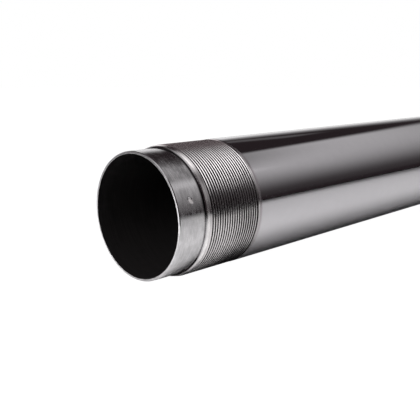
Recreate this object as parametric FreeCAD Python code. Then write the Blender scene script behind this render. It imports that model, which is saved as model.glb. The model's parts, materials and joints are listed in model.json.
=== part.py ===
import FreeCAD, Part
import math
import os
from FreeCAD import Placement, Rotation, Vector

# Inner tube of an upside-down front fork: one turned, ground and chromed steel tube.
# It lies along +X with +Z up. The origin is on the tube's axis, in the plane of the rim
# at the threaded end, which screws into the axle clamp. All sizes are in millimetres.
# Angles round the tube are in degrees from straight down, right-handed about +X.

# Tube
bore_diameter = 45.7
wall = 2.15
tube_length = 600.0

# Spigot at the threaded end: a thin turned nose that centres the tube in the axle clamp
spigot_length = 12.0
spigot_wall = 0.9
rim_chamfer = 0.25

# Tapered lead-in between the shoulder and the first groove of the thread
shoulder_chamfer = 0.2
lead_in_length = 2.4
lead_in_rise = 0.4

# Right-hand outside thread, which starts at the top
thread_length = 26.1
thread_pitch = 1.25
thread_angle = 60.0
thread_start_angle = 180.0
crest_relief = 0.1
run_out_length = 0.7
groove_start_offset = 0.1

# Plain end, which slides into the outer tube
plain_end_chamfer = 1.0
plain_end_chamfer_length = 2.0
plain_end_bore_chamfer = 0.5

# Flats left at the top and at the bottom of the thread form, as shares of its pitch
CREST_FLAT_SHARE = 1 / 6
ROOT_FLAT_SHARE = 1 / 8
# How far the groove's cutter stands out past the crest, so that it cuts clean
CUTTER_CLEARANCE = 0.05

bore_radius = bore_diameter / 2
tube_radius = bore_radius + wall
spigot_radius = bore_radius + spigot_wall
crest_radius = tube_radius - crest_relief
lead_in_radius = crest_radius - lead_in_rise

lead_in_end = spigot_length + lead_in_length
thread_end = lead_in_end + thread_length
full_size_start = thread_end + run_out_length

flank_slope = math.tan(math.radians(thread_angle / 2))
root_flat = ROOT_FLAT_SHARE * thread_pitch
groove_mouth = thread_pitch - CREST_FLAT_SHARE * thread_pitch
thread_depth = (groove_mouth - root_flat) / 2 / flank_slope

AXIS_POINT = Vector(0, 0, 0)
AXIS = Vector(1, 0, 0)
ACROSS = Vector(0, 1, 0)
FULL_TURN = 360
QUARTER_TURN = 90


def turned(points):
    """Solid turned about the X axis from a closed outline of (x, radius) pairs, drawn below the axis."""
    corners = [Vector(x, 0, -radius) for x, radius in points]
    outline = Part.makePolygon(corners + corners[:1])
    return Part.Face(outline).revolve(AXIS_POINT, AXIS, FULL_TURN)


def tube_blank():
    """The tube with its spigot, shoulder, lead-in and chamfers, before the thread is cut."""
    return turned([
        (0, bore_radius),
        (0, spigot_radius - rim_chamfer),
        (rim_chamfer, spigot_radius),
        (spigot_length, spigot_radius),
        (spigot_length, lead_in_radius - shoulder_chamfer),
        (spigot_length + shoulder_chamfer, lead_in_radius),
        (lead_in_end, crest_radius),
        (thread_end, crest_radius),
        (full_size_start, tube_radius),
        (tube_length - plain_end_chamfer_length, tube_radius),
        (tube_length, tube_radius - plain_end_chamfer),
        (tube_length, bore_radius + plain_end_bore_chamfer),
        (tube_length - plain_end_bore_chamfer, bore_radius),
    ])


def groove_cutter(turns):
    """One helical V groove with a flat root, along +Z from the XY plane."""
    root_radius = crest_radius - thread_depth
    outer_radius = crest_radius + CUTTER_CLEARANCE
    half_root = root_flat / 2
    half_mouth = half_root + (outer_radius - root_radius) * flank_slope
    corners = [
        Vector(root_radius, 0, half_root),
        Vector(outer_radius, 0, half_mouth),
        Vector(outer_radius, 0, -half_mouth),
        Vector(root_radius, 0, -half_root),
    ]
    section = Part.makePolygon(corners + corners[:1])
    helix = Part.makeHelix(thread_pitch, thread_pitch * turns, root_radius)
    return Part.Wire(helix.Edges).makePipeShell([section], True, True)


def thread_groove():
    """The thread's groove in place, from just past the lead-in to the end of the thread."""
    first = lead_in_end + groove_start_offset
    last = thread_end - groove_mouth / 2
    groove = groove_cutter((last - first) / thread_pitch)
    along_tube = Rotation(ACROSS, QUARTER_TURN)
    round_tube = Rotation(AXIS, thread_start_angle)
    groove.Placement = Placement(Vector(first, 0, 0), round_tube.multiply(along_tube))
    return groove


def fork_tube():
    """The finished tube."""
    return tube_blank().cut(thread_groove())


def main():
    os.makedirs("parts", exist_ok=True)
    fork_tube().exportStep("parts/fork_tube.step")


main()
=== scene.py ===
import json
import math

import bmesh
import bpy
from bpy.props import FloatProperty, FloatVectorProperty, PointerProperty
from mathutils import Matrix, Vector


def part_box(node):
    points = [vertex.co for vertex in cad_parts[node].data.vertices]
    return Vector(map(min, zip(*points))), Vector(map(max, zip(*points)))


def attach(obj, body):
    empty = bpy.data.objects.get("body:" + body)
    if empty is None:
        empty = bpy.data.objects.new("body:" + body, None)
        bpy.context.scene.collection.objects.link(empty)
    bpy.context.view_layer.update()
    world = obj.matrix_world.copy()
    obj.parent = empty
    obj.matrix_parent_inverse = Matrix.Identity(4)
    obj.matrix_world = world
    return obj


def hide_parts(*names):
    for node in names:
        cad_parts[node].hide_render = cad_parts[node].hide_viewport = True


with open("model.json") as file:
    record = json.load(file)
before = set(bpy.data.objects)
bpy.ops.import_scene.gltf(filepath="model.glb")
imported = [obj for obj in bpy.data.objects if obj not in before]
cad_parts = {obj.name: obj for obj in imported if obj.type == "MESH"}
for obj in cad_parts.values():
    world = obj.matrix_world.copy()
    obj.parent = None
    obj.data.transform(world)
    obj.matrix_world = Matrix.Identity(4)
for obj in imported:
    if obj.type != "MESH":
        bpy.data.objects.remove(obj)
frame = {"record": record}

bl_info = {
    "name": "Fork Tube",
    "version": (1, 0, 0),
    "blender": (4, 5, 0),
    "location": "View3D > Sidebar > Fork Tube",
    "description": "Models the inner tube of an upside-down fork, with its thread and hard chrome",
    "category": "Object",
}

# The tube lies along +X with its rim at the origin. Lengths are in metres, as the frame is.
MM = 0.001
LOWEST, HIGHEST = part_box("fork_tube")
MOUNTS = {mount["name"]: mount for mount in frame["record"]["mounts"]}
AXIS = Vector((1, 0, 0))
CENTRE = Vector((0, 0, 0))
UNTURNED = Matrix.Identity(4)

# Mesh density: steps round the tube, and stretches along its long plain surfaces
STEPS_ROUND = 160
SPIGOT_STRETCHES = 12
SLIDE_STRETCHES = 32
BORE_STRETCHES = 24
ROUNDING_SEGMENTS = 2
MERGE_DISTANCE = 0.002 * MM
# Roundings of the fine edges at the rim and shoulder, and of the plain end's edges
FINE_EDGE = 0.04 * MM
SOFT_EDGE = 0.1 * MM
# A loop this far from each rounded corner keeps the flat beside it flat in the light
EDGE_HOLD = 0.05 * MM
# Plain surfaces start and end this far from a corner
MARGIN = 0.25 * MM

# The thread begins at the top of the tube, a quarter turn on from +Y. It is made this many
# turns longer at each end, before it is trimmed.
TOP = 0.25
SPARE_TURNS = 2

# The nick's shape, in its own half heights: how far its finer mesh reaches, how far its edge
# lies from its middle and over what width it fades, how its facet leans and widens upwards,
# and where it is scraped bright
NICK_REACH = 2.5
NICK_CUTS = 4
NICK_EDGE = 1.2
NICK_FADE = 0.4
NICK_LEAN = 0.45
NICK_NARROWNESS = 1.5
NICK_WIDENING = 0.5
NICK_SCRAPED = 2 / 3

BORE_SLOT, TURNED_SLOT, THREAD_SLOT, CHROME_SLOT = range(4)

# Depths of the fine lines in each finish
CHROME_LINES = 0.004 * MM
TURNED_LINES = 0.018 * MM
THREAD_LINES = 0.006 * MM
BORE_LINES = 0.01 * MM

# Painted shade in the thread, in millimetres under the crests: where it ends and where it covers
# the steel, and how much higher it reaches where it is strong. There it also darkens the crests.
SHADE_TOP = 0.14
SHADE_FULL = 0.36
SHADE_RISE = 0.17
SHADE_ON_CRESTS = 0.3

# How far the chrome is hazy and how far its lines are deeper, in millimetres from its start,
# and how rough the haze and how strong the lines are
HAZE_REACH = 1.0
FRESH_REACH = 25
HAZE_ROUGHNESS = 0.2
FRESH_LINES = 0.7
POLISHED_LINES = 0.1

# A noise stays between about these values
NOISE_ENDS = (0.3, 0.7)
WHITE = (1, 1, 1, 1)

# Brightness of the studio's panels, as the metal mirrors them
FRONT_LIGHT = 0.53
HOT_SPOT_LIGHT = 0.34
OVERHEAD_LIGHT = 0.95
BACKDROP_LIGHT = 0.92
KEY_LIGHT = 2.95
RAISED_LIGHT = 0.6
STREAK_LIGHT = 0.1
# Degrees that the front panel's far edge and the backdrop's brightness shift per degree
FRONT_LEAN = 0.42
BACKDROP_LEAN = -0.3

# The camera sees the floor as an even glow with a share of its true shade. To the metal, shade
# is painted on it past a slanting line beyond the rim, where it keeps a small share of its colour.
FLOOR_GLOW = 1.1
FLOOR_SHADE = 0.08
FLOOR_SEGMENTS = 96
PAINTED_SHADE_SHARE = 0.05
PAINTED_SHADE_SLANT = 0.6

# The camera's place and angles come from a fit to the rim's circles and the tube's edges
CAMERA_PLACE = Vector((-143.36, -179.50, 51.96)) * MM
CAMERA_DOWN = math.radians(12.214)
CAMERA_TURN = math.radians(45.324)
CAMERA_LENS = 55.81
CAMERA_SENSOR = 36.0
CAMERA_NEAR = 1 * MM


def mount_radius(name):
    return MOUNTS[name]["dims"]["r_mm"] * MM


def length_property(name, description, default, low=0.0, high=2.0):
    return FloatProperty(
        name=name, description=description, default=default, min=low, max=high,
        unit="LENGTH", subtype="DISTANCE", precision=5,
    )


def turns_property(name, description, default, low=0.0):
    return FloatProperty(
        name=name, description=description, default=default, min=low, max=1, subtype="FACTOR",
    )


def power_property(name, description, default):
    return FloatProperty(
        name=name, description=description, default=default, min=0, max=50, unit="POWER",
    )


def colour_property(name, description, default):
    return FloatVectorProperty(
        name=name, description=description, default=default, size=3, min=0, max=1,
        subtype="COLOR",
    )


class TubeSizes(bpy.types.PropertyGroup):
    """Sizes of the turned and threaded tube."""

    tube_length: length_property("Tube length", "From rim to plain end", HIGHEST.x - LOWEST.x)
    tube_radius: length_property(
        "Tube radius", "Of the chromed slide surface", mount_radius("slide_surface"))
    bore_radius: length_property("Bore radius", "Of the through bore", mount_radius("bore"))
    spigot_radius: length_property("Spigot radius", "Of the turned nose", mount_radius("spigot"))
    spigot_length: length_property(
        "Spigot length", "From the rim to the shoulder", MOUNTS["shoulder"]["pos_m"][0])
    rim_chamfer: length_property("Rim chamfer", "On the outer edge of the rim", 0.25 * MM)
    shoulder_chamfer: length_property(
        "Shoulder chamfer", "On the outer edge of the shoulder", 0.45 * MM)
    lead_in_radius: length_property(
        "Lead-in radius", "Where the taper leaves the chamfer", 24.5 * MM)
    lead_in_length: length_property(
        "Lead-in length", "From the shoulder to the thread's full size", 2.4 * MM)
    crest_relief: length_property(
        "Crest relief", "From the slide surface to the crests", 0.1 * MM)
    thread_length: length_property(
        "Thread length", "From the lead-in to the last crest", 25.5 * MM)
    thread_pitch: length_property("Thread pitch", "From crest to crest", 1.25 * MM)
    thread_depth: length_property("Thread depth", "From crest to root", 0.767 * MM)
    groove_offset: length_property(
        "Groove offset", "From the lead-in to the groove's start", 0.1 * MM)
    groove_mouth: length_property("Groove mouth", "Width of the groove at the crests", 1.042 * MM)
    groove_root: length_property("Groove root", "Width of the flat at the root", 0.156 * MM)
    crest_rounding: length_property("Crest rounding", "Worn edges of the crests", 0.08 * MM)
    root_rounding: length_property("Root rounding", "Corners of the root", 0.06 * MM)
    run_in_lead: turns_property(
        "Run-in lead", "Turns before the top at which the groove begins", 0.3)
    run_in_turns: turns_property("Run-in", "Turns over which the groove deepens", 0.22, low=0.01)
    run_out_turns: turns_property(
        "Run-out", "Turns over which the groove rises again", 0.3, low=0.01)
    run_out_length: length_property("Run-out length", "From the last crest to full size", 0.7 * MM)
    end_chamfer: length_property("End chamfer", "Taken off the plain end's radius", 1.0 * MM)
    end_chamfer_length: length_property("End chamfer length", "Along the plain end", 2.0 * MM)
    end_bore_chamfer: length_property("End bore chamfer", "Inside the plain end", 0.5 * MM)
    nick_along: length_property("Nick along", "From the rim to the nick on the spigot", 6.4 * MM)
    nick_angle: FloatProperty(
        name="Nick angle", description="Round the spigot, up from its front side",
        default=math.radians(20), subtype="ANGLE", unit="ROTATION")
    nick_size: length_property("Nick size", "Half height of the nick", 1.2 * MM)
    nick_depth: length_property("Nick depth", "Of the nick's upper end", 0.3 * MM)


class TubeFinish(bpy.types.PropertyGroup):
    """Colours of the tube's finishes."""

    chrome_colour: colour_property(
        "Chrome", "Hard chrome of the slide surface", (0.562, 0.545, 0.566))
    haze_colour: colour_property("Haze", "Matt chrome just behind the thread", (0.40, 0.36, 0.38))
    steel_colour: colour_property("Turned steel", "Spigot, rim and shoulder", (0.61, 0.595, 0.608))
    lead_in_colour: colour_property(
        "Lead-in", "Fresh steel of the lead-in and the nick", (0.93, 0.895, 0.90))
    thread_colour: colour_property("Thread", "Crests and flanks of the thread", (0.74, 0.71, 0.718))
    # Lighter, pinkish colour that the thread takes towards its top
    top_colour: colour_property("Dry thread", "Dry, brownish top of the thread", (0.98, 0.84, 0.86))
    # Colour of the painted shade in the thread's roots and underside and in the corner before the
    # shoulder
    painted_shade_colour: colour_property("Oil", "Dark film in roots and corners", (0.03, 0.026, 0.027))
    # Partly the oiled bore's own colour, partly painted shade: almost black, for the shade inside
    # the tube
    bore_and_shade_colour: colour_property("Bore", "Honed and oiled bore", (0.024, 0.0215, 0.022))


class StageSettings(bpy.types.PropertyGroup):
    """Sizes and brightness of the stage."""

    floor_colour: colour_property("Floor", "Pale floor", (0.86, 0.86, 0.86))
    floor_radius: length_property("Floor radius", "Of the round floor", 2.6, low=0.5, high=20)
    surround: colour_property("Surround", "Dark studio round the panels", (0.028, 0.021, 0.023))
    ambient: FloatProperty(
        name="Ambient", description="Brightness of the light that falls on the floor all round",
        default=0.05, min=0, max=5)
    floor_light: power_property("Floor light", "Power of the lamp over the tube", 1.72)
    rim_light: power_property("Rim light", "Power of the lamp before the rim", 0.32)


def smooth_step(value):
    share = min(max(value, 0.0), 1.0)
    return share * share * (3 - 2 * share)


class Outline:
    """Positions along the tube, worked out from its sizes."""

    def __init__(self, sizes):
        self.sizes = sizes
        self.taper_start = sizes.spigot_length + sizes.shoulder_chamfer
        self.lead_in_end = sizes.spigot_length + sizes.lead_in_length
        self.crest_radius = sizes.tube_radius - sizes.crest_relief
        self.thread_end = self.lead_in_end + sizes.thread_length
        self.full_size_start = self.thread_end + sizes.run_out_length
        self.groove_start = self.lead_in_end + sizes.groove_offset
        run_in_start = self.groove_start - sizes.run_in_lead * sizes.thread_pitch
        self.thread_start = run_in_start - sizes.groove_mouth / 2 - MARGIN
        last_groove = self.thread_end - sizes.groove_mouth / 2
        self.groove_turns = (last_groove - self.groove_start) / sizes.thread_pitch

    def uncut_radius(self, x):
        """Radius of the lead-in taper and the crests, before the groove is cut."""
        share = min((x - self.taper_start) / (self.lead_in_end - self.taper_start), 1)
        return self.sizes.lead_in_radius + share * (self.crest_radius - self.sizes.lead_in_radius)


def stretches(start, end, radius, count):
    """Evenly spaced points of a plain stretch, for an outline."""
    return [(start + (end - start) * number / count, radius, 0) for number in range(count + 1)]


def held(points):
    """The outline with a point more beside each rounded corner, on every flat with room for it."""
    result = [points[0]]
    for start, end in zip(points, points[1:]):
        near, far = (corner[2] + EDGE_HOLD if corner[2] else 0 for corner in (start, end))
        length = math.dist(start[:2], end[:2])
        if length > near + far + EDGE_HOLD:
            for share in (near / length, 1 - far / length):
                if 0 < share < 1:
                    x, radius = (a + share * (b - a) for a, b in zip(start[:2], end[:2]))
                    result.append((x, radius, 0))
        result.append(end)
    return result


def rounded_wire(bm, corners):
    """A line of edges above the axis, through corners that are each given by their place
    along the tube, radius and rounding."""
    points = held(corners)
    verts = [bm.verts.new((x, 0, radius)) for x, radius, rounding in points]
    for first, second in zip(verts, verts[1:]):
        bm.edges.new((first, second))
    sharp_verts = {}
    for vert, (x, radius, rounding) in zip(verts, points):
        if rounding:
            sharp_verts.setdefault(rounding, []).append(vert)
    for rounding, sharp in sharp_verts.items():
        bmesh.ops.bevel(
            bm, geom=sharp, offset=rounding, offset_type="OFFSET", affect="VERTICES",
            segments=ROUNDING_SEGMENTS, profile=0.5, material=-1,
        )


def turned_body(bm, outline):
    """All of the tube but its thread: a line from the thread's start over the rim, back
    through the bore and over the plain end to the thread's end, spun round the axis."""
    sizes = outline.sizes
    rim_edge = sizes.spigot_radius - sizes.rim_chamfer
    end_radius = sizes.tube_radius - sizes.end_chamfer
    end_bore_radius = sizes.bore_radius + sizes.end_bore_chamfer
    end_start = sizes.tube_length - sizes.end_chamfer_length
    bore_end = sizes.tube_length - sizes.end_bore_chamfer
    spigot_end = sizes.spigot_length - MARGIN
    spigot_start = sizes.rim_chamfer + MARGIN
    slide_start = outline.full_size_start + MARGIN
    rounded_wire(bm, [
        (outline.thread_start, outline.uncut_radius(outline.thread_start), 0),
        (outline.taper_start, sizes.lead_in_radius, FINE_EDGE),
        (sizes.spigot_length, sizes.lead_in_radius - sizes.shoulder_chamfer, FINE_EDGE),
        (sizes.spigot_length, sizes.spigot_radius, FINE_EDGE),
        *stretches(spigot_end, spigot_start, sizes.spigot_radius, SPIGOT_STRETCHES),
        (sizes.rim_chamfer, sizes.spigot_radius, FINE_EDGE),
        (0, rim_edge, FINE_EDGE),
        (0, sizes.bore_radius, FINE_EDGE),
        *stretches(MARGIN, bore_end - MARGIN, sizes.bore_radius, BORE_STRETCHES),
        (bore_end, sizes.bore_radius, SOFT_EDGE),
        (sizes.tube_length, end_bore_radius, SOFT_EDGE),
        (sizes.tube_length, end_radius, SOFT_EDGE),
        (end_start, sizes.tube_radius, SOFT_EDGE),
        *stretches(end_start - MARGIN, slide_start, sizes.tube_radius, SLIDE_STRETCHES),
        (outline.full_size_start, sizes.tube_radius, 0),
        (outline.thread_end, outline.crest_radius, 0),
    ])
    bmesh.ops.spin(
        bm, geom=bm.verts[:] + bm.edges[:], cent=CENTRE, axis=AXIS, dvec=(0, 0, 0),
        angle=math.tau, steps=STEPS_ROUND, use_merge=True, space=UNTURNED,
    )


def thread_turn(bm, outline):
    """One turn of the groove with half a crest on each side, begun at the top of the tube."""
    sizes = outline.sizes
    centre = outline.groove_start
    root_radius = outline.crest_radius - sizes.thread_depth
    rounded_wire(bm, [
        (centre - sizes.thread_pitch / 2, outline.crest_radius, 0),
        (centre - sizes.groove_mouth / 2, outline.crest_radius, sizes.crest_rounding),
        (centre - sizes.groove_root / 2, root_radius, sizes.root_rounding),
        (centre + sizes.groove_root / 2, root_radius, sizes.root_rounding),
        (centre + sizes.groove_mouth / 2, outline.crest_radius, sizes.crest_rounding),
        (centre + sizes.thread_pitch / 2, outline.crest_radius, 0),
    ])
    bmesh.ops.spin(
        bm, geom=bm.verts[:] + bm.edges[:], cent=CENTRE, axis=AXIS,
        dvec=(sizes.thread_pitch / STEPS_ROUND, 0, 0),
        angle=math.tau, steps=STEPS_ROUND, use_merge=False, space=UNTURNED,
    )


def groove_turn_at(outline, co):
    """How many turns the groove has run, where it passes nearest to a point."""
    part_turn = (math.atan2(co.z, co.y) / math.tau - TOP) % 1
    whole = (co.x - outline.groove_start) / outline.sizes.thread_pitch - part_turn
    return part_turn + round(whole)


def shape_thread(bm, outline):
    """Lets the groove run in and out, trims it to the lead-in and brings both ends onto a
    plain ring."""
    sizes = outline.sizes
    for vert in bm.verts:
        co = vert.co
        radius = math.hypot(co.y, co.z)
        turn = groove_turn_at(outline, co)
        run_in = smooth_step((turn + sizes.run_in_lead) / sizes.run_in_turns)
        run_out = smooth_step((outline.groove_turns - turn) / sizes.run_out_turns)
        cut = (outline.crest_radius - radius) * run_in * run_out
        x = min(max(co.x, outline.thread_start), outline.thread_end)
        wanted = min(outline.crest_radius - cut, outline.uncut_radius(x))
        vert.co = (x, co.y * wanted / radius, co.z * wanted / radius)


def cut_thread(outline):
    """The threaded stretch, as many like turns side by side."""
    bm = bmesh.new()
    thread_turn(bm, outline)
    pitch = outline.sizes.thread_pitch
    first_turn = bm.verts[:] + bm.edges[:] + bm.faces[:]
    bmesh.ops.translate(bm, verts=bm.verts[:], vec=AXIS * -SPARE_TURNS * pitch)
    turns = math.ceil(outline.groove_turns) + 2 * SPARE_TURNS
    for number in range(1, turns):
        copy = bmesh.ops.duplicate(bm, geom=first_turn)["geom"]
        verts = [item for item in copy if isinstance(item, bmesh.types.BMVert)]
        bmesh.ops.translate(bm, verts=verts, vec=AXIS * number * pitch)
    shape_thread(bm, outline)
    bmesh.ops.remove_doubles(bm, verts=bm.verts[:], dist=MERGE_DISTANCE)
    return bm


def on_tube(x, angle, radius):
    """A point at an angle up from the tube's front side, which faces -Y."""
    return Vector((x, -radius * math.cos(angle), radius * math.sin(angle)))


def nick_centre(sizes):
    return on_tube(sizes.nick_along, sizes.nick_angle, sizes.spigot_radius)


def dent_spigot(bm, sizes):
    """The small nick on the spigot: a finer patch of mesh with a leaning facet, widest and
    deepest at its top."""
    centre = nick_centre(sizes)
    reach = sizes.nick_size * NICK_REACH
    near = [
        edge for edge in bm.edges if all((vert.co - centre).length < reach for vert in edge.verts)]
    bmesh.ops.subdivide_edges(bm, edges=near, cuts=NICK_CUTS, use_grid_fill=True)
    outward = Vector((0, centre.y, centre.z)).normalized()
    upward = outward.cross(AXIS)
    for vert in bm.verts:
        offset = (vert.co - centre) / sizes.nick_size
        if offset.length < NICK_REACH:
            up = offset.dot(upward)
            aside = (NICK_NARROWNESS - NICK_WIDENING * up) * (offset.x + NICK_LEAN * up)
            pressed = smooth_step((NICK_EDGE - math.hypot(aside, up)) / NICK_FADE)
            vert.co -= outward * sizes.nick_depth * (pressed * (1 + up) / 2)


def paint_faces(bm, outline):
    """Gives every face the finish of its surface."""
    sizes = outline.sizes
    wall_middle = (sizes.bore_radius + sizes.spigot_radius) / 2
    for face in bm.faces:
        middle = face.calc_center_median()
        radius = math.hypot(middle.y, middle.z)
        in_wall = MARGIN < middle.x < sizes.tube_length - sizes.end_bore_chamfer
        if radius < wall_middle and in_wall:
            face.material_index = BORE_SLOT
        elif middle.x < outline.thread_start or middle.x > sizes.tube_length - MARGIN:
            face.material_index = TURNED_SLOT
        elif middle.x < outline.thread_end:
            face.material_index = THREAD_SLOT
        else:
            face.material_index = CHROME_SLOT
        face.smooth = True


def tube_mesh(outline):
    """The turned body and the thread, joined in one closed mesh."""
    bm = bmesh.new()
    turned_body(bm, outline)
    thread = cut_thread(outline)
    thread_data = bpy.data.meshes.new("thread")
    thread.to_mesh(thread_data)
    thread.free()
    bm.from_mesh(thread_data)
    bpy.data.meshes.remove(thread_data)
    bmesh.ops.remove_doubles(bm, verts=bm.verts[:], dist=MERGE_DISTANCE)
    dent_spigot(bm, outline.sizes)
    bmesh.ops.recalc_face_normals(bm, faces=bm.faces[:])
    paint_faces(bm, outline)
    mesh = bpy.data.meshes.new("fork_tube_finished")
    bm.to_mesh(mesh)
    bm.free()
    return mesh


def add_node(tree, kind, inputs=None, **settings):
    """A node with its settings. Each input is set to a value or linked to another node."""
    node = tree.nodes.new(kind)
    for name, value in settings.items():
        setattr(node, name, value)
    for name, value in (inputs or {}).items():
        if isinstance(value, bpy.types.NodeSocket):
            tree.links.new(value, node.inputs[name])
        else:
            node.inputs[name].default_value = value
    return node


def maths(tree, operation, *values, clamp=False):
    """The result of a Math node."""
    inputs = dict(enumerate(values))
    return add_node(tree, "ShaderNodeMath", inputs, operation=operation, use_clamp=clamp).outputs[0]


def combined(tree, operation, values):
    """The result of one Math node after the other, each taking in one value more."""
    result = values[0]
    for value in values[1:]:
        result = maths(tree, operation, result, value)
    return result


def total(tree, *values):
    return combined(tree, "ADD", values)


def product(tree, *values):
    return combined(tree, "MULTIPLY", values)


def map_range(tree, value, ends, results, kind="SMOOTHSTEP"):
    """A value taken from one range to another."""
    return add_node(tree, "ShaderNodeMapRange", {
        "Value": value, "From Min": ends[0], "From Max": ends[1],
        "To Min": results[0], "To Max": results[1],
    }, interpolation_type=kind).outputs[0]


def fade(tree, value, nothing, full):
    """A soft edge: 0 where the value is at nothing, and 1 where it is at full."""
    return map_range(tree, value, (nothing, full), (0, 1))


def band(tree, value, low, high, soft):
    """One between two edges and nothing outside them, with soft edges."""
    rise = fade(tree, value, nothing=low - soft / 2, full=low + soft / 2)
    fall = fade(tree, value, nothing=high + soft / 2, full=high - soft / 2)
    return product(tree, rise, fall)


def spread(tree, noise, low, high, ends=NOISE_ENDS):
    """A noise, which stays about its middle, spread from one value to another."""
    return map_range(tree, noise, ends, (low, high))


def solid(colour, share=1.0):
    return (colour[0] * share, colour[1] * share, colour[2] * share, 1)


def mix_colour(tree, share, first, second):
    """A blend of two colours."""
    inputs = {0: share, 6: first, 7: second}
    return add_node(tree, "ShaderNodeMix", inputs, data_type="RGBA", clamp_factor=True).outputs[2]


def scaled_colour(tree, colour, share):
    """A colour made darker or brighter."""
    inputs = {0: colour, "Scale": share}
    return add_node(tree, "ShaderNodeVectorMath", inputs, operation="SCALE").outputs[0]


def mottled(tree, mask, colour, variation):
    """A colour that a mask makes darker and brighter by a share."""
    return mix_colour(tree, mask, solid(colour, 1 - variation), solid(colour, 1 + variation))


def new_group(name, inputs, outputs):
    """An empty node group with named number sockets."""
    tree = bpy.data.node_groups.new(name, "ShaderNodeTree")
    for socket, default in inputs.items():
        item = tree.interface.new_socket(socket, in_out="INPUT", socket_type="NodeSocketFloat")
        item.default_value = default
    for socket in outputs:
        tree.interface.new_socket(socket, in_out="OUTPUT", socket_type="NodeSocketFloat")
    entry = tree.nodes.new("NodeGroupInput")
    leave = tree.nodes.new("NodeGroupOutput")
    return tree, entry.outputs, leave.inputs


def use_group(tree, group, inputs=None):
    return add_node(tree, "ShaderNodeGroup", inputs, node_tree=group).outputs


def object_place(tree):
    """Where a point lies on the object."""
    return add_node(tree, "ShaderNodeTexCoord").outputs["Object"]


def split_vector(tree, vector):
    return add_node(tree, "ShaderNodeSeparateXYZ", {"Vector": vector}).outputs


def places_group():
    """Where a point lies on the tube, in millimetres: along it, from its axis and above it."""
    tree, _, results = new_group("places on the tube", {}, ["Along", "Radius", "Height"])
    x, y, z = split_vector(tree, object_place(tree))
    radius = maths(tree, "SQRT", total(tree, product(tree, y, y), product(tree, z, z)))
    for name, metres in (("Along", x), ("Radius", radius), ("Height", z)):
        tree.links.new(maths(tree, "DIVIDE", metres, MM), results[name])
    return tree


def turning_group():
    """Fine lines left round the tube by turning or polishing: a height and a slow blotch."""
    tree, entry, results = new_group(
        "turning marks", {"Lines per mm": 6.0, "Length mm": 30.0}, ["Line", "Blotch"])
    place = object_place(tree)
    across = maths(tree, "DIVIDE", entry["Lines per mm"], MM)
    round_scale = maths(tree, "DIVIDE", 1 / MM, entry["Length mm"])
    scale = add_node(tree, "ShaderNodeCombineXYZ", {
        "X": across, "Y": round_scale, "Z": round_scale}).outputs[0]
    stretched = add_node(
        tree, "ShaderNodeVectorMath", {0: place, 1: scale}, operation="MULTIPLY").outputs[0]
    lines = add_node(tree, "ShaderNodeTexNoise", {
        "Vector": stretched, "Scale": 1.0, "Detail": 3.0, "Roughness": 0.6})
    blotch = add_node(tree, "ShaderNodeTexNoise", {
        "Vector": place, "Scale": 260.0, "Detail": 2.0, "Roughness": 0.5})
    tree.links.new(lines.outputs[0], results["Line"])
    tree.links.new(blotch.outputs[0], results["Blotch"])
    return tree


def new_material(name):
    """A metal with an empty node tree but its shader."""
    material = bpy.data.materials.new(name)
    material.use_nodes = True
    tree = material.node_tree
    sockets = tree.nodes["Principled BSDF"].inputs
    sockets["Metallic"].default_value = 1.0
    return material, tree, sockets


def connect(tree, sockets, colour, roughness, height, depth):
    """Links a finish to its shader, with its fine lines as bump of a depth in metres."""
    lines = add_node(tree, "ShaderNodeBump", {
        "Height": height, "Distance": depth, "Strength": 1.0})
    tree.links.new(colour, sockets["Base Color"])
    tree.links.new(roughness, sockets["Roughness"])
    tree.links.new(lines.outputs[0], sockets["Normal"])


def hard_chrome(finish, outline, groups):
    """Ground and polished hard chrome. Where it begins behind the thread it is hazy, and its
    lines are deeper."""
    material, tree, sockets = new_material("hard_chrome")
    along = use_group(tree, groups["places"])["Along"]
    marks = use_group(tree, groups["turning"], {"Lines per mm": 4.0, "Length mm": 60.0})
    start = outline.thread_end / MM
    haze = fade(tree, along, nothing=outline.full_size_start / MM + HAZE_REACH, full=start)
    fresh = fade(tree, along, nothing=start + FRESH_REACH, full=start)
    tone = mottled(tree, marks["Blotch"], finish.chrome_colour, 0.03)
    colour = mix_colour(tree, haze, tone, solid(finish.haze_colour))
    polished = spread(tree, marks["Line"], 0.05, 0.09)
    rough = maths(tree, "MULTIPLY_ADD", haze, HAZE_ROUGHNESS, polished)
    strength = maths(tree, "MULTIPLY_ADD", fresh, FRESH_LINES, POLISHED_LINES)
    height = product(tree, marks["Line"], strength)
    connect(tree, sockets, colour, rough, height, CHROME_LINES)
    return material


def corner_painted_shade(tree, places, outline):
    """Painted shade in the corner before the shoulder: narrow all round, and wide on the
    underside."""
    corner = outline.sizes.spigot_length / MM
    along, height = places["Along"], places["Height"]
    on_top = map_range(tree, height, (0, 6), (0.35, 1))
    shade_strength = maths(tree, "ADD", on_top, fade(tree, height, nothing=-12, full=-16), clamp=True)
    narrow = product(tree, fade(tree, along, nothing=corner - 1.1, full=corner - 0.05), shade_strength)
    underside = fade(tree, height, nothing=-7, full=-21)
    wide = product(tree, fade(tree, along, nothing=corner - 5, full=corner - 0.5), underside)
    in_corner = fade(tree, along, nothing=corner + 0.15, full=corner + 0.02)
    return product(tree, maths(tree, "MAXIMUM", narrow, wide), in_corner)


def scraped_nick(tree, sizes):
    """The middle of the nick, where the steel is freshly scraped."""
    inputs = {0: object_place(tree), 1: nick_centre(sizes)}
    away = add_node(tree, "ShaderNodeVectorMath", inputs, operation="DISTANCE").outputs["Value"]
    return fade(tree, away, nothing=sizes.nick_size, full=sizes.nick_size * NICK_SCRAPED)


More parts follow.
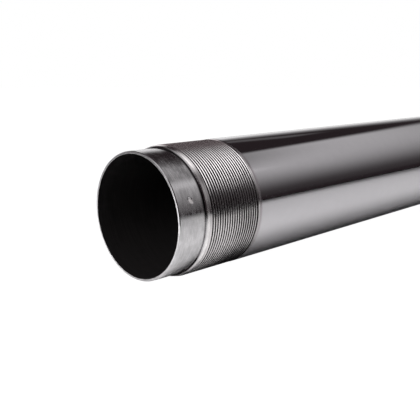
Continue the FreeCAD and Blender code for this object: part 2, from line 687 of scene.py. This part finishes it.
def turned_steel(finish, outline, groups):
    """Bright turned steel with fine lines, an uneven sheen and painted shade in its corner. The
    lead-in past the shoulder is fresher, the nick is scraped bright and the rim is smoother."""
    material, tree, sockets = new_material("turned_steel")
    places = use_group(tree, groups["places"])
    marks = use_group(tree, groups["turning"], {"Lines per mm": 1.6, "Length mm": 3.4})
    line, blotch = marks["Line"], marks["Blotch"]
    taper = outline.taper_start / MM
    lead_in = fade(tree, places["Along"], nothing=taper - 0.3, full=taper)
    fresh = solid(finish.lead_in_colour)
    steel = mix_colour(tree, lead_in, solid(finish.steel_colour), fresh)
    worn = total(tree, spread(tree, line, 0, 0.6), spread(tree, blotch, 0, 0.4, ends=(0.35, 0.65)))
    tone = mix_colour(
        tree, worn, scaled_colour(tree, steel, 0.76), scaled_colour(tree, steel, 1.12))
    # Painted shade: the corner before the shoulder and the spigot's underside turn to the shade
    # colour
    corner_shaded = mix_colour(tree, corner_painted_shade(tree, places, outline), tone, solid(finish.painted_shade_colour))
    colour = mix_colour(tree, scraped_nick(tree, outline.sizes), corner_shaded, fresh)
    rim = outline.sizes.rim_chamfer / MM
    crisp = map_range(tree, places["Along"], (rim, rim + 0.4), (0.4, 1))
    rough = total(tree, spread(tree, line, 0.13, 0.22), spread(tree, blotch, -0.04, 0.05))
    connect(tree, sockets, colour, product(tree, rough, crisp), line, TURNED_LINES)
    return material


def thread_painted_shade(tree, places, outline):
    """How strongly shade is painted on the thread: its lower side towards its end, its underside
    all along, and its last crest."""
    along, height = places["Along"], places["Height"]
    end = outline.thread_end / MM
    far = fade(tree, along, nothing=end - 19, full=end - 5)
    side = product(tree, far, fade(tree, height, nothing=4, full=-2), 0.5)
    more = map_range(tree, far, (0, 1), (0.75, 1))
    under = product(tree, fade(tree, height, nothing=-9, full=-20), more)
    last = fade(tree, along, nothing=end - 1.9, full=end - 1.1)
    last_crest = product(tree, last, fade(tree, height, nothing=14, full=4), 0.5)
    return total(tree, side, under, last_crest)


def thread_steel(finish, outline, groups):
    """Cut thread: bright worn crests and upper flanks over roots darkened with painted shade, with
    more painted shade on its underside and towards its end. It is lighter and pinkish towards its
    top."""
    material, tree, sockets = new_material("thread_steel")
    places = use_group(tree, groups["places"])
    marks = use_group(tree, groups["turning"], {"Lines per mm": 5.0, "Length mm": 8.0})
    # Painted shade: a mask over the thread's lower side towards its end, its underside and its last
    # crest
    shaded = thread_painted_shade(tree, places, outline)
    crest = outline.crest_radius / MM
    covered = maths(tree, "MULTIPLY_ADD", shaded, -SHADE_RISE, places["Radius"])
    # Painted shade in the grooves: darker towards the roots, and higher up the flanks where the
    # mask is strong
    shading = fade(tree, covered, nothing=crest - SHADE_TOP, full=crest - SHADE_FULL)
    # The thread's colour turns lighter and pinkish towards its top
    towards_top = fade(tree, places["Height"], nothing=22.3, full=24.8)
    bare = mix_colour(tree, towards_top, solid(finish.thread_colour), solid(finish.top_colour))
    tone = scaled_colour(tree, bare, spread(tree, marks["Line"], 0.85, 1.1))
    # Painted shade on the crests where the mask is strong
    crest_shaded = scaled_colour(tree, tone, maths(tree, "MULTIPLY_ADD", shaded, -SHADE_ON_CRESTS, 1))
    colour = mix_colour(tree, shading, crest_shaded, solid(finish.painted_shade_colour))
    rough = map_range(tree, shading, (0, 1), (0.14, 0.5))
    connect(tree, sockets, colour, rough, marks["Line"], THREAD_LINES)
    return material


def honed_bore(finish, groups):
    """The bore: honed steel with old oil, its colour painted almost black as the shade inside the
    tube.
    """
    material, tree, sockets = new_material("honed_bore")
    marks = use_group(tree, groups["turning"], {"Lines per mm": 3.0, "Length mm": 14.0})
    # Painted shade: the bore's near-black colour stands in for the shade inside the tube
    tone = mottled(tree, spread(tree, marks["Line"], 0, 1), finish.bore_and_shade_colour, 0.2)
    sockets["Metallic"].default_value = 0.6
    rough = spread(tree, marks["Blotch"], 0.4, 0.5)
    connect(tree, sockets, tone, rough, marks["Line"], BORE_LINES)
    return material


def direction_angles(tree):
    """The azimuth from +X and the elevation of a direction of the sky, in degrees."""
    x, y, z = split_vector(tree, add_node(tree, "ShaderNodeTexCoord").outputs["Generated"])
    azimuth = maths(tree, "DEGREES", maths(tree, "ARCTAN2", y, x))
    elevation = maths(tree, "DEGREES", maths(tree, "ARCSINE", z))
    return azimuth, elevation


def front_panel(tree, azimuth, elevation):
    """The wide panel beside the camera. It brightens upwards, and its far edge leans."""
    leaning = maths(tree, "MULTIPLY_ADD", elevation, FRONT_LEAN, azimuth)
    across = product(
        tree,
        map_range(tree, azimuth, (-66, -52), (0.45, 1)),
        fade(tree, azimuth, nothing=-105, full=-95),
        map_range(tree, azimuth, (-42, -24), (0.76, 1)),
        fade(tree, leaning, nothing=28.3, full=22.3),
    )
    foot = product(tree, fade(tree, elevation, nothing=2, full=6.5),
                   map_range(tree, azimuth, (-48, -42), (0.2, 0.03)))
    brighter = fade(tree, elevation, nothing=6, full=34)
    upward = maths(tree, "MULTIPLY_ADD", brighter, FRONT_LIGHT, foot)
    return product(tree, across, upward, map_range(tree, elevation, (33.5, 49), (1, 0.3)))


def hot_spot(tree, azimuth, elevation):
    """The lamp behind the front panel, which shines through it."""
    across = band(tree, azimuth, low=-40, high=-25, soft=8)
    return product(tree, across, band(tree, elevation, low=34, high=43, soft=6), HOT_SPOT_LIGHT)


def overhead_panel(tree, azimuth, elevation):
    """The panel over the tube, which fades to the rim's side."""
    aside = product(tree, fade(tree, azimuth, nothing=-60, full=-16),
                    map_range(tree, azimuth, (10, 60), (1, 0.25)))
    return product(tree, fade(tree, elevation, nothing=43.5, full=64), aside, OVERHEAD_LIGHT)


def backdrop(tree, azimuth, elevation):
    """The lit paper behind the tube. It is brightest where it meets the floor, and rises to
    one side."""
    aside = maths(tree, "MINIMUM", maths(tree, "SUBTRACT", azimuth, 30), 30)
    leaning = maths(tree, "MULTIPLY_ADD", aside, BACKDROP_LEAN, elevation)
    rise = map_range(tree, azimuth, (40, 49), (0, -5.5), kind="LINEAR")
    upward = fade(tree, total(tree, leaning, rise), nothing=22, full=0)
    return product(tree, band(tree, azimuth, low=17, high=150, soft=8), upward, BACKDROP_LIGHT)


def key_panel(tree, azimuth, elevation):
    """The bright panel on the rim's side, which shows in the flanks of the thread."""
    beside = total(tree, fade(tree, azimuth, nothing=141, full=182),
                   fade(tree, azimuth, nothing=-161, full=-176))
    return product(tree, beside, band(tree, elevation, low=12, high=45, soft=9), KEY_LIGHT)


def raised_panel(tree, azimuth, elevation):
    """The dimmer panel above it, which shows in the chamfer of the shoulder."""
    beside = total(tree, fade(tree, azimuth, nothing=120, full=165),
                   fade(tree, azimuth, nothing=-146, full=-160))
    return product(tree, beside, band(tree, elevation, low=47, high=62, soft=8), RAISED_LIGHT)


def streak(tree, azimuth, elevation):
    """A faint reflector between the front panel and the backdrop."""
    across = band(tree, azimuth, low=27, high=38, soft=4)
    return product(tree, across, band(tree, elevation, low=23.5, high=28, soft=3), STREAK_LIGHT)


PANELS = (front_panel, hot_spot, overhead_panel, backdrop, key_panel, raised_panel, streak)


def mix_shaders(tree, share, first, second):
    """One shader where the share is 0 and the other where it is 1."""
    inputs = {0: share, 1: first.outputs[0], 2: second.outputs[0]}
    return add_node(tree, "ShaderNodeMixShader", inputs)


def studio_world(stage):
    """White paper to the camera; to the metal, a dark studio with soft panels."""
    world = bpy.data.worlds.new("studio")
    world.use_nodes = True
    tree = world.node_tree
    tree.nodes.clear()
    azimuth, elevation = direction_angles(tree)
    light = total(tree, *(panel(tree, azimuth, elevation) for panel in PANELS))
    sky = add_node(tree, "ShaderNodeVectorMath", {0: light, 1: stage.surround}, operation="ADD")
    above = fade(tree, elevation, nothing=-0.5, full=0.5)
    studio = add_node(tree, "ShaderNodeBackground", {"Color": sky.outputs[0], "Strength": above})
    ambient = add_node(tree, "ShaderNodeBackground", {"Color": solid(WHITE, stage.ambient)})
    paper = add_node(tree, "ShaderNodeBackground", {"Color": WHITE})
    path = add_node(tree, "ShaderNodeLightPath").outputs
    unseen = mix_shaders(tree, path["Is Diffuse Ray"], studio, ambient)
    mixed = mix_shaders(tree, path["Is Camera Ray"], unseen, paper)
    add_node(tree, "ShaderNodeOutputWorld", {"Surface": mixed.outputs[0]})
    return world


def floor_material(stage):
    """Pale floor, lit nearly white where the camera sees it. Beyond the rim, where the metal sees
    it, shade is painted on it."""
    material = bpy.data.materials.new("pale_floor")
    material.use_nodes = True
    tree = material.node_tree
    tree.nodes.clear()
    x, y, _ = split_vector(tree, object_place(tree))
    across = maths(tree, "MULTIPLY_ADD", y, PAINTED_SHADE_SLANT, x)
    # Painted shade: past this slanting line beyond the rim the floor's colour falls to a small
    # share
    lit = fade(tree, across, nothing=-190 * MM, full=-130 * MM)
    colour = mix_colour(
        tree, lit, solid(stage.floor_colour, PAINTED_SHADE_SHARE), solid(stage.floor_colour))
    plain = add_node(tree, "ShaderNodeBsdfDiffuse", {"Color": colour})
    glow = add_node(tree, "ShaderNodeEmission", {"Color": WHITE, "Strength": FLOOR_GLOW})
    white = mix_shaders(tree, FLOOR_SHADE, glow, plain)
    seen = add_node(tree, "ShaderNodeLightPath").outputs["Is Camera Ray"]
    mixed = mix_shaders(tree, seen, plain, white)
    add_node(tree, "ShaderNodeOutputMaterial", {"Surface": mixed.outputs[0]})
    return material


def add_floor(stage):
    """The round floor that the tube lies on."""
    bm = bmesh.new()
    bmesh.ops.create_circle(
        bm, cap_ends=True, segments=FLOOR_SEGMENTS, radius=stage.floor_radius)
    bmesh.ops.translate(bm, verts=bm.verts[:], vec=(0, 0, -mount_radius("slide_surface")))
    mesh = bpy.data.meshes.new("floor")
    bm.to_mesh(mesh)
    bm.free()
    mesh.materials.append(floor_material(stage))
    floor = bpy.data.objects.new("floor", mesh)
    bpy.context.scene.collection.objects.link(floor)


def add_lamp(name, place, target, size, spread_angle, power):
    """A soft lamp that lights the floor, but isn't mirrored in the metal. Its place and
    target are in millimetres."""
    data = bpy.data.lights.new(name, "AREA")
    data.shape = "DISK"
    data.size = size
    data.spread = math.radians(spread_angle)
    data.energy = power
    light = bpy.data.objects.new(name, data)
    light.location = Vector(place) * MM
    light.rotation_euler = (Vector(target) - Vector(place)).to_track_quat("-Z", "Y").to_euler()
    light.visible_glossy = False
    light.visible_camera = False
    bpy.context.scene.collection.objects.link(light)


def add_camera():
    """A camera that looks over the rim along the tube, a little down."""
    data = bpy.data.cameras.new("camera")
    data.sensor_width = CAMERA_SENSOR
    data.lens = CAMERA_LENS
    data.clip_start = CAMERA_NEAR
    camera = bpy.data.objects.new("camera", data)
    camera.location = CAMERA_PLACE
    camera.rotation_euler = (math.pi / 2 - CAMERA_DOWN, 0, -CAMERA_TURN)
    bpy.context.scene.collection.objects.link(camera)
    bpy.context.scene.camera = camera


class AddForkTube(bpy.types.Operator):
    """Add the turned, threaded and chromed tube"""

    bl_idname = "fork_tube.add_tube"
    bl_label = "Add fork tube"

    def execute(self, context):
        finish = context.scene.fork_tube_finish
        outline = Outline(context.scene.fork_tube_sizes)
        groups = {"places": places_group(), "turning": turning_group()}
        mesh = tube_mesh(outline)
        for metal in (  # in the order of the slots
            honed_bore(finish, groups),
            turned_steel(finish, outline, groups),
            thread_steel(finish, outline, groups),
            hard_chrome(finish, outline, groups),
        ):
            mesh.materials.append(metal)
        tube = bpy.data.objects.new("fork_tube_finished", mesh)
        context.scene.collection.objects.link(tube)
        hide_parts("fork_tube")
        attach(tube, "root")
        return {"FINISHED"}


class AddStage(bpy.types.Operator):
    """Add the floor, the studio light and the camera"""

    bl_idname = "fork_tube.add_stage"
    bl_label = "Add stage"

    def execute(self, context):
        stage = context.scene.fork_tube_stage
        add_floor(stage)
        add_lamp("floor_light", place=(215, -75, 420), target=(215, -20, 0),
                 size=0.5, spread_angle=180, power=stage.floor_light)
        add_lamp("rim_light", place=(-350, 20, 115), target=(-30, 60, -25),
                 size=0.15, spread_angle=55, power=stage.rim_light)
        context.scene.world = studio_world(stage)
        add_camera()
        context.scene.view_settings.view_transform = "Standard"
        return {"FINISHED"}


class ForkTubePanel(bpy.types.Panel):
    """Lists the steps that build the tube"""

    bl_idname = "VIEW3D_PT_fork_tube"
    bl_label = "Fork Tube"
    bl_space_type = "VIEW_3D"
    bl_region_type = "UI"
    bl_category = "Fork Tube"

    def draw(self, context):
        scene = context.scene
        for settings in (scene.fork_tube_sizes, scene.fork_tube_finish, scene.fork_tube_stage):
            for name in settings.__annotations__:
                self.layout.prop(settings, name)
        self.layout.operator(AddForkTube.bl_idname)
        self.layout.operator(AddStage.bl_idname)


CLASSES = (TubeSizes, TubeFinish, StageSettings, AddForkTube, AddStage, ForkTubePanel)


def register():
    for cls in CLASSES:
        bpy.utils.register_class(cls)
    bpy.types.Scene.fork_tube_sizes = PointerProperty(type=TubeSizes)
    bpy.types.Scene.fork_tube_finish = PointerProperty(type=TubeFinish)
    bpy.types.Scene.fork_tube_stage = PointerProperty(type=StageSettings)


def unregister():
    del bpy.types.Scene.fork_tube_stage
    del bpy.types.Scene.fork_tube_finish
    del bpy.types.Scene.fork_tube_sizes
    for cls in reversed(CLASSES):
        bpy.utils.unregister_class(cls)


def main():
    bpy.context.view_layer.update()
    register()
    bpy.ops.fork_tube.add_tube()
    bpy.ops.fork_tube.add_stage()


if __name__ == "__main__":
    main()
